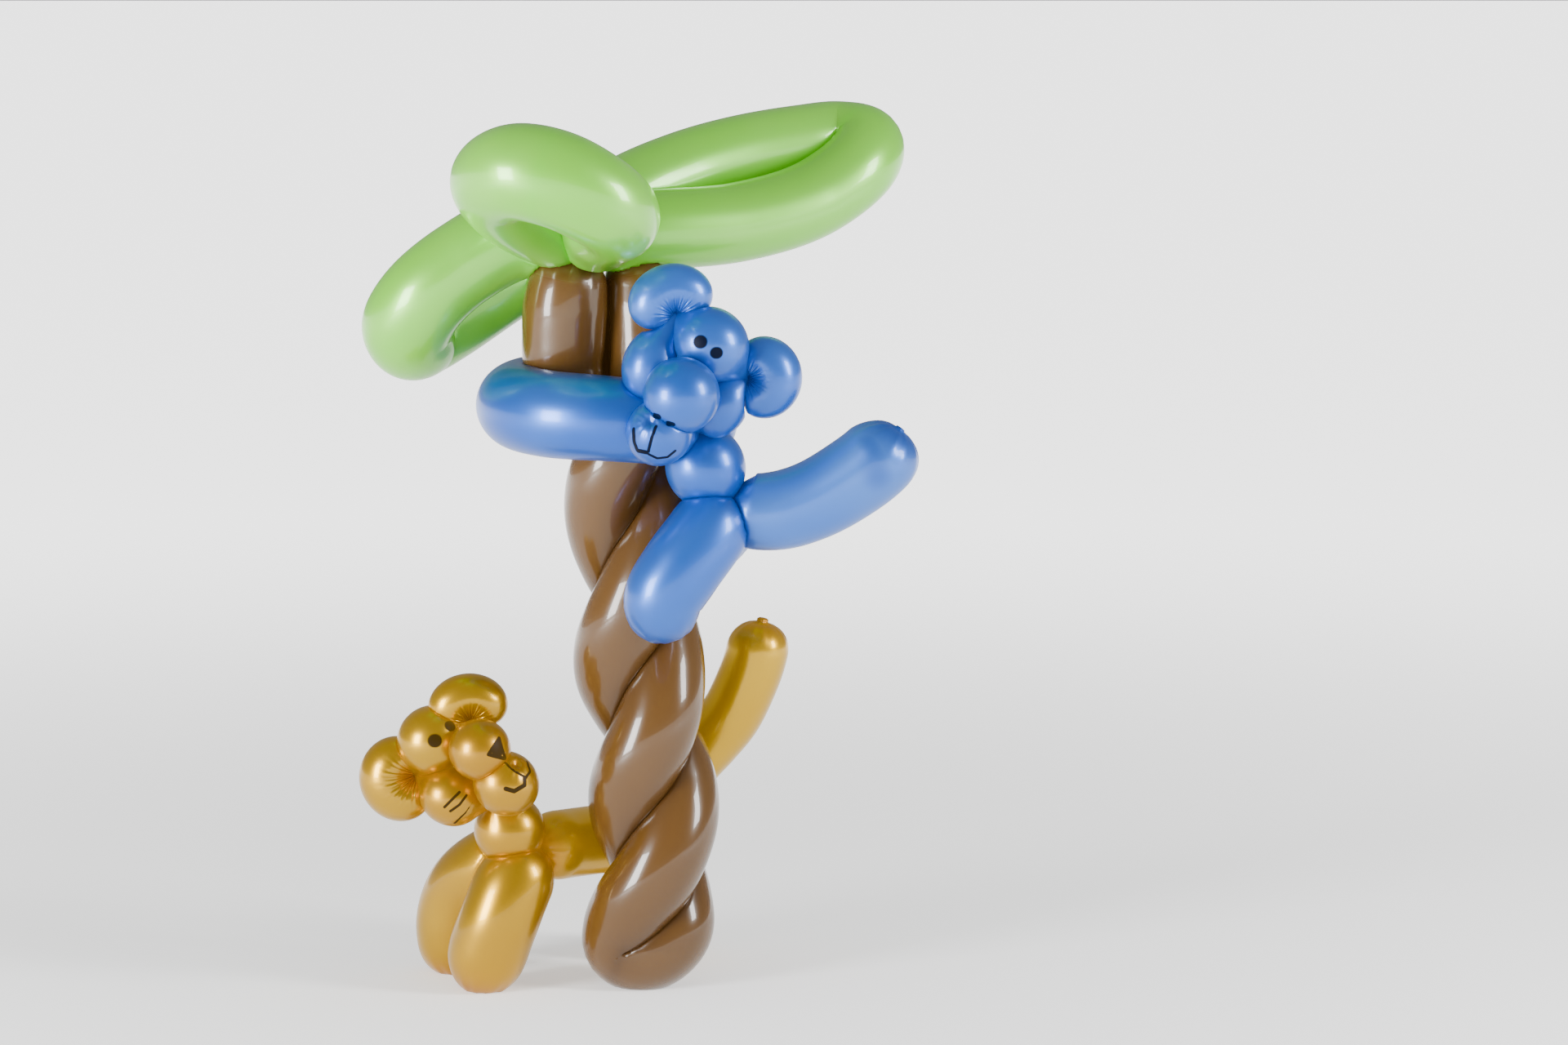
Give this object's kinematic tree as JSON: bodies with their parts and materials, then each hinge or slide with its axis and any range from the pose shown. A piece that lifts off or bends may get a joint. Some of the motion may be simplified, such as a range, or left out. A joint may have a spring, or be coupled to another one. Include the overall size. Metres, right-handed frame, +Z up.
{
  "type": "balloon monkey sculpture",
  "caption": "Twisted modelling-balloon palm tree with a blue monkey clasping the trunk and a gold animal standing round its foot.",
  "frame": {"origin": "middle of the flat under the trunk's fold, at floor level", "axes": "+Z up the trunk, -Y towards the viewer of the picture, +X to the picture's right"},
  "size_m": [0.3406, 0.2656, 0.5409],
  "materials": {
    "brown_latex": "glossy opaque latex",
    "green_latex": "pearl latex, satin gloss",
    "blue_latex": "pearl latex, satin gloss",
    "gold_latex": "pearl latex, satin gloss"
  },
  "bodies": {
    "root": {"palm_trunk": "brown_latex", "palm_leaves": "green_latex", "blue_monkey": "blue_latex", "gold_animal": "gold_latex"}
  },
  "joints": []
}
